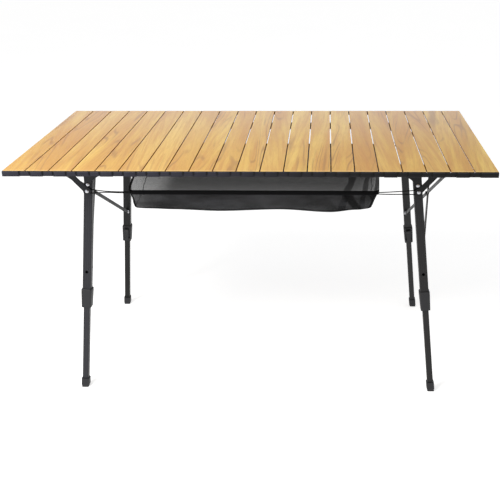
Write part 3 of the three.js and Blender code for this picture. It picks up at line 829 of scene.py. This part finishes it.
def draped(x, y, z, drop):
    """Moves a point of the bag by its sag, its soft waves and its creases; drop runs 0 at the rim to 1."""
    back = (y / RIM_HALF.y + 1) / 2
    x *= 1 + BACK_PULL * back + (RIGHT_PULL * (1 - back) if x > 0 else LEFT_FULL * min(1.0, drop * 3.0))
    bow = LEFT_BOW if x < 0 else RIGHT_BOW
    x += math.copysign(bow, x) * (1 - (y / RIM_HALF.y) ** 2) * min(1.0, abs(x) / RIM_HALF.x) ** 6
    front_back = min(1.0, abs(y) / 0.17)
    z += eased(EDGE_SAG, x) * min(1.0, drop * 1.6) * front_back
    free = math.sin(math.pi * min(1.0, drop * 1.1 + 0.02)) if drop < 0.9 else 0.12
    soft = noise.noise(Vector((x * 7, y * 7, drop * 1.6)))
    fold = noise.noise(Vector((x * 26 + 9, y * 26, drop * 2.2 + 7)))
    fine = noise.noise(Vector((x * 70, y * 70, drop * 9.0 + 3)))
    push = (0.008 * soft + 0.0045 * fold + 0.0015 * fine) * free
    outward = Vector((x / RIM_HALF.x**2, y / RIM_HALF.y**2, 0))
    if outward.length > 1e-6:
        outward.normalize()
    point = Vector((x, y, z)) + outward * push
    point.z += 0.35 * push
    return point


def add_bag():
    vertices, faces, flat_coordinates = [], [], []
    down = 0.0
    before = None
    stops = len(BAG_LOOPS) - 1
    for ring in range(WALL_RINGS + 1):
        share = ring / WALL_RINGS
        half_x, half_y, corner, z = loop_at(share * stops)
        if before is not None:
            down += math.hypot(half_y - before[0], z - before[1])
        before = (half_y, z)
        for step, (x, y) in enumerate(rounded_outline(half_x, half_y, corner, AROUND)):
            vertices.append(draped(x, y, z, share))
            flat_coordinates.append((RIM_LENGTH * step / AROUND, down))
    base_x, base_y, base_corner, base_z = loop_at(stops)
    for ring in range(1, FLOOR_RINGS + 1):
        shrink = 1 - ring / (FLOOR_RINGS + 1)
        corner = min(base_corner * shrink, base_y * shrink * 0.9)
        for x, y in rounded_outline(base_x * shrink, base_y * shrink, corner, AROUND):
            place = draped(x, y, base_z, 1.0)
            wave = noise.noise(Vector((x * 8, y * 13, 5.0))) * 0.0045 + 0.0022
            place.z += max(wave, -0.001) * (1 - shrink)
            vertices.append(place)
            flat_coordinates.append((x + FLOOR_NET_SHIFT, y + FLOOR_NET_SHIFT))
    rings = WALL_RINGS + FLOOR_RINGS
    for ring in range(rings):
        for step in range(AROUND):
            after = (step + 1) % AROUND
            a, b = ring * AROUND, (ring + 1) * AROUND
            faces.append((a + step, b + step, b + after, a + after))
    faces.append(tuple(rings * AROUND + step for step in range(AROUND)))
    bag = new_piece("mesh_bag", vertices, faces, "mesh")
    layer = bag.data.uv_layers.new(name="cloth")
    pitch = flat_coordinates[1][0]
    for polygon in bag.data.polygons:
        ring_steps = [bag.data.loops[loop].vertex_index % AROUND for loop in polygon.loop_indices]
        wraps = max(ring_steps) == AROUND - 1 and min(ring_steps) == 0
        for loop in polygon.loop_indices:
            vertex = bag.data.loops[loop].vertex_index
            u, v = flat_coordinates[vertex]
            if wraps and vertex % AROUND == 0 and vertex // AROUND <= WALL_RINGS:
                u = pitch * AROUND
            layer.data[loop].uv = (u, v)
    return bag


def add_hem(ring, name, height, thickness):
    """A flat tape folded over an edge: an upright rounded band along the ring's points."""
    count = len(ring)
    sides = 10
    profile = []
    for step in range(sides):
        angle = 2 * math.pi * step / sides
        across, up = math.cos(angle), math.sin(angle)
        profile.append(
            (
                math.copysign(abs(across) ** 0.6, across) * thickness / 2,
                math.copysign(abs(up) ** 0.6, up) * height / 2,
            )
        )
    vertices, faces = [], []
    for i, point in enumerate(ring):
        along = (ring[(i + 1) % count] - ring[i - 1]).normalized()
        outward = along.cross(Vector((0, 0, 1))).normalized()
        for across, up in profile:
            vertices.append(point + outward * across + Vector((0, 0, up)))
    for i in range(count):
        a, b = i * sides, ((i + 1) % count) * sides
        for step in range(sides):
            after = (step + 1) % sides
            faces.append((a + step, b + step, b + after, a + after))
    return new_piece(name, vertices, faces, "tape")


def add_corner_tape(bag, name, column, half_width):
    """A flat binding sewn down one upright corner of the bag, just outside the cloth."""
    vertices, faces = [], []
    section = ((-1, 0.0003), (0, 0.0012), (1, 0.0003), (1, -0.0003), (-1, -0.0003))
    sides = len(section)
    for ring in range(SEAM_RING + 1):
        centre = bag.data.vertices[ring * AROUND + column].co
        before = bag.data.vertices[ring * AROUND + (column - 3) % AROUND].co
        after = bag.data.vertices[ring * AROUND + (column + 3) % AROUND].co
        along = (after - before).normalized()
        outward = along.cross(Vector((0, 0, 1))).normalized()
        for side, out in section:
            vertices.append(centre + along * side * half_width + outward * out)
    for ring in range(SEAM_RING):
        a, b = ring * sides, (ring + 1) * sides
        for step in range(sides):
            after = (step + 1) % sides
            faces.append((a + step, a + after, b + after, b + step))
    faces.append(tuple(reversed(range(sides))))
    faces.append(tuple(SEAM_RING * sides + step for step in range(sides)))
    return new_piece(name, vertices, faces, "tape")


def build_storage():
    bag = add_bag()
    rim = [bag.data.vertices[i].co.copy() for i in range(AROUND)]
    hem = add_hem(rim, "bag_hem", HEM_HEIGHT, 0.0022)
    seam = [bag.data.vertices[SEAM_RING * AROUND + i].co.copy() for i in range(AROUND)]
    piping = add_hem(seam, "bag_base_seam", 0.0016, 0.0016)
    trims = [hem, piping]
    outline = rounded_outline(*BAG_LOOPS[0][:3], AROUND)
    for label, (sx, sy) in SIDES.items():
        corner = Vector((sx * RIM_HALF.x, sy * RIM_HALF.y))
        column = min(range(AROUND), key=lambda i: (Vector(outline[i]) - corner).length)
        trims.append(add_corner_tape(bag, "bag_corner_tape_" + label, column, 0.0042))
    for piece in [bag] + trims:
        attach(piece, "back_side")
        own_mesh(piece)
    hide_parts("storage_bag")


build_storage()


# ---------- elastic loops ----------
CORD_RADIUS = 0.00125
LOOP_TURN = 0.0066
LEG_FACE_AT_FLOOR = 0.2683
CORD_ROOM = 0.0017
# half the space between a hairpin's two strands, at these shares of the way from the rivet to the bag
STRAND_SHARES = (0.13, 0.40, 0.70)
STRAND_SPACING = {label: (0.0052, 0.0040, 0.0030) for label in SIDES}
STRAND_SPACING["front_left"] = (0.0046, 0.0016, 0.0013)
# how far each loop runs on past its solid to meet the hem
LOOP_REACH = {"front_left": 0.0046, "front_right": 0.0004, "back_left": 0.0054, "back_right": 0.0060}


def loop_y(z):
    """How far out the face of a leg is, at a height, plus room for the cord."""
    return LEG_FACE_AT_FLOOR - LEAN[1] * z + CORD_ROOM


def add_loops():
    for label, (sx, sy) in SIDES.items():
        low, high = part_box("bag_loop_" + label)
        bag_x = min(abs(low.x), abs(high.x)) - 0.006 - LOOP_REACH[label]
        end_y = RIM_HALF.y + 0.0004
        pin_x, pin_z = RIVET_LOW
        upper, lower = [], []
        for strand, side in ((upper, 1), (lower, -1)):
            hem_end = Vector((bag_x, end_y, RIM_Z + 0.0002 + side * 0.0018))
            leg_end = Vector((pin_x, loop_y(pin_z), pin_z))
            for share, half in zip(STRAND_SHARES, STRAND_SPACING[label]):
                middle = leg_end.lerp(hem_end, share)
                middle.z = pin_z + (RIM_Z - pin_z) * share + side * half - 0.0008
                strand.append(middle)
            strand.append(hem_end)
        around = []
        for step in range(9):
            angle = math.pi / 2 - math.pi * step / 8
            z = pin_z + LOOP_TURN * math.sin(angle)
            around.append(Vector((pin_x + LOOP_TURN * math.cos(angle), loop_y(z), z)))
        points = upper[::-1] + around + lower
        route = [Vector((p.x * sx, p.y * sy, p.z)) for p in smooth_route(points)]
        loop = swept("bag_cord_" + label, route, CORD_RADIUS, "cord")
        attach(loop, side_body(label))
        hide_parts("bag_loop_" + label)


add_loops()


# ---------- floor and light ----------
FLOOR_HALF = 14.0
FLOOR_Z = -0.0005


def add_stage():
    look = Look("floor", Roughness=0.9, Specular_IOR_Level=0.1, Emission_Strength=0.64)
    cloud = look.noise(look.coordinates, 1.2, 2.0)
    colour = look.mix(cloud, (0.74, 0.74, 0.74, 1), (0.77, 0.77, 0.77, 1))
    LOOKS["floor"] = look.finish(Base_Color=colour, Emission_Color=(1.0, 1.0, 1.0, 1.0))
    signs = ((-1, -1), (1, -1), (1, 1), (-1, 1))
    corners = [(sx * FLOOR_HALF, sy * FLOOR_HALF, FLOOR_Z) for sx, sy in signs]
    floor = new_piece("floor", corners, [(0, 1, 2, 3)], "floor", smooth=False)


def add_area_light(name, place, target, size, power, colour=(1, 1, 1), lights_surfaces=True):
    data = bpy.data.lights.new(name, "AREA")
    data.shape = "RECTANGLE"
    data.size, data.size_y = size
    data.energy = power
    data.color = colour
    light = bpy.data.objects.new(name, data)
    light.location = place
    aim = Vector(target) - Vector(place)
    light.rotation_euler = aim.to_track_quat("-Z", "Y").to_euler()
    light.visible_diffuse = lights_surfaces
    bpy.context.scene.collection.objects.link(light)


def add_light():
    world = bpy.data.worlds.new("studio")
    world.use_nodes = True
    background = world.node_tree.nodes["Background"]
    background.inputs["Color"].default_value = (1.0, 1.0, 1.0, 1)
    background.inputs["Strength"].default_value = 0.46
    bpy.context.scene.world = world
    add_area_light("key", (-1.0, -1.35, 1.9), (-0.15, -0.1, 0.6), (0.9, 0.7), 42, (1.0, 0.98, 0.93))
    add_area_light("side", (-1.7, -1.7, 0.9), (-0.2, -0.2, 0.5), (0.8, 0.8), 9, (0.80, 0.88, 1.0))
    # seen only as the pale haze on the back of the top
    add_area_light("haze", (0.0, 3.2, 1.2), (0, 0, 0.64), (7.0, 0.50), 34, (0.80, 0.90, 1.0), False)
    bpy.context.scene.view_settings.view_transform = "Standard"


add_stage()
add_light()
